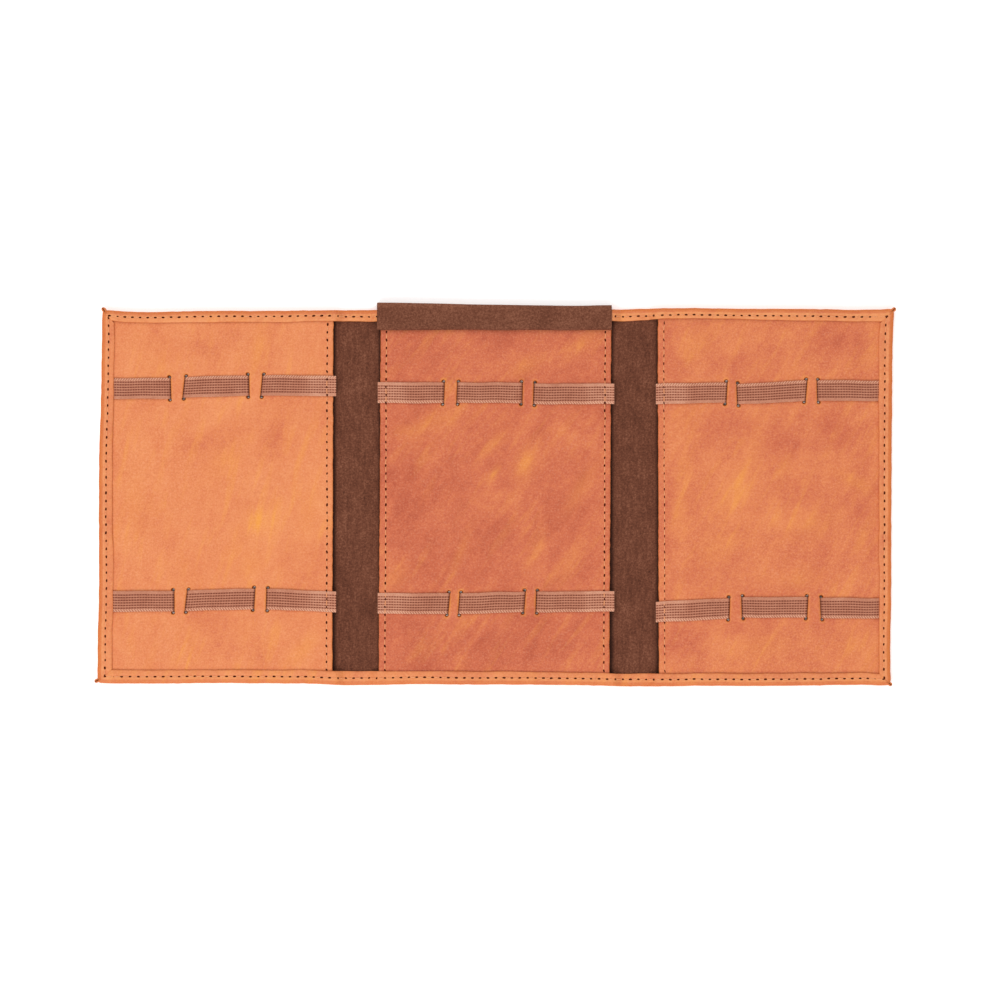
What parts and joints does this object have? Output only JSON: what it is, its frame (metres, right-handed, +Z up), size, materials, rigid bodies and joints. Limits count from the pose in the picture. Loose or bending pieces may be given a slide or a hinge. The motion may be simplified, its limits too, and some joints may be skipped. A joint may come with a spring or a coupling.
{
  "type": "brush roll case",
  "caption": "Trifold leather brush case with stiff panels, soft spines, woven elastic loops and a microfibre tip flap, lying open.",
  "frame": {"origin": "middle of the centre panel's outer back face, which rests on the table when the case lies open", "axes": "+X to the right across the panels, +Y towards the edge with the flap, +Z up out of the inner side"},
  "size_m": [0.3998, 0.1924, 0.0073],
  "materials": {
    "cover_leather": "waxed pull-up leather with a satin sheen",
    "panel_leather_left": "mottled pull-up leather, light orange",
    "panel_leather_centre": "mottled pull-up leather, rust",
    "panel_leather_right": "mottled pull-up leather, mixed orange and rust",
    "microfibre": "matte brushed microfibre",
    "board": "plain pale board",
    "elastic": "ribbed woven elastic",
    "thread": "waxed thread"
  },
  "bodies": {
    "centre": {"cover_centre": "cover_leather", "lining_centre": "microfibre", "board_centre": "board", "panel_centre": "panel_leather_centre", "strap_centre_top": "elastic", "strap_centre_bottom": "elastic", "flap_anchor": "microfibre", "seam_centre_left": "thread", "seam_centre_right": "thread", "seam_hem_centre_top": "thread", "seam_hem_centre_bottom": "thread"},
    "left_spine": {"cover_left_spine": "cover_leather", "lining_left_spine": "microfibre", "seam_hem_left_spine_top": "thread", "seam_hem_left_spine_bottom": "thread"},
    "left_panel": {"cover_left": "cover_leather", "lining_left_edge": "microfibre", "board_left": "board", "panel_left": "panel_leather_left", "strap_left_top": "elastic", "strap_left_bottom": "elastic", "seam_left_inner": "thread", "seam_hem_left": "thread"},
    "right_spine": {"cover_right_spine": "cover_leather", "lining_right_spine": "microfibre", "seam_hem_right_spine_top": "thread", "seam_hem_right_spine_bottom": "thread"},
    "right_panel": {"cover_right": "cover_leather", "lining_right_edge": "microfibre", "board_right": "board", "panel_right": "panel_leather_right", "strap_right_top": "elastic", "strap_right_bottom": "elastic", "seam_right_inner": "thread", "seam_hem_right": "thread"},
    "flap": {"flap_strip": "microfibre"},
    "flap_drop": {"flap_tail": "microfibre"}
  },
  "joints": [
    {"name": "left_spine_fold", "type": "hinge", "parent": "centre", "child": "left_spine", "pos_m": [-0.0606, 0, 0.0029], "axis": [0, 1, 0], "range_deg": [0, 40]},
    {"name": "left_panel_fold", "type": "hinge", "parent": "left_spine", "child": "left_panel", "pos_m": [-0.0784, 0, 0.0029], "axis": [0, 1, 0], "range_deg": [0, 140]},
    {"name": "right_spine_fold", "type": "hinge", "parent": "centre", "child": "right_spine", "pos_m": [0.0606, 0, 0.0029], "axis": [0, -1, 0], "range_deg": [0, 90]},
    {"name": "right_panel_fold", "type": "hinge", "parent": "right_spine", "child": "right_panel", "pos_m": [0.0784, 0, 0.0029], "axis": [0, -1, 0], "range_deg": [0, 90]},
    {"name": "flap_turn", "type": "hinge", "parent": "centre", "child": "flap", "pos_m": [0, 0.0849, 0.0059], "axis": [1, 0, 0], "range_deg": [0, 172]},
    {"name": "flap_straighten", "type": "hinge", "parent": "flap", "child": "flap_drop", "pos_m": [0, 0.0956, 0.0059], "axis": [1, 0, 0], "range_deg": [0, 86]}
  ],
  "couplings": [
    {"joint": "left_spine_fold", "follows": "left_panel_fold", "ratio": 0.2857},
    {"joint": "right_spine_fold", "follows": "right_panel_fold", "ratio": 1},
    {"joint": "flap_straighten", "follows": "flap_turn", "ratio": 0.5}
  ]
}
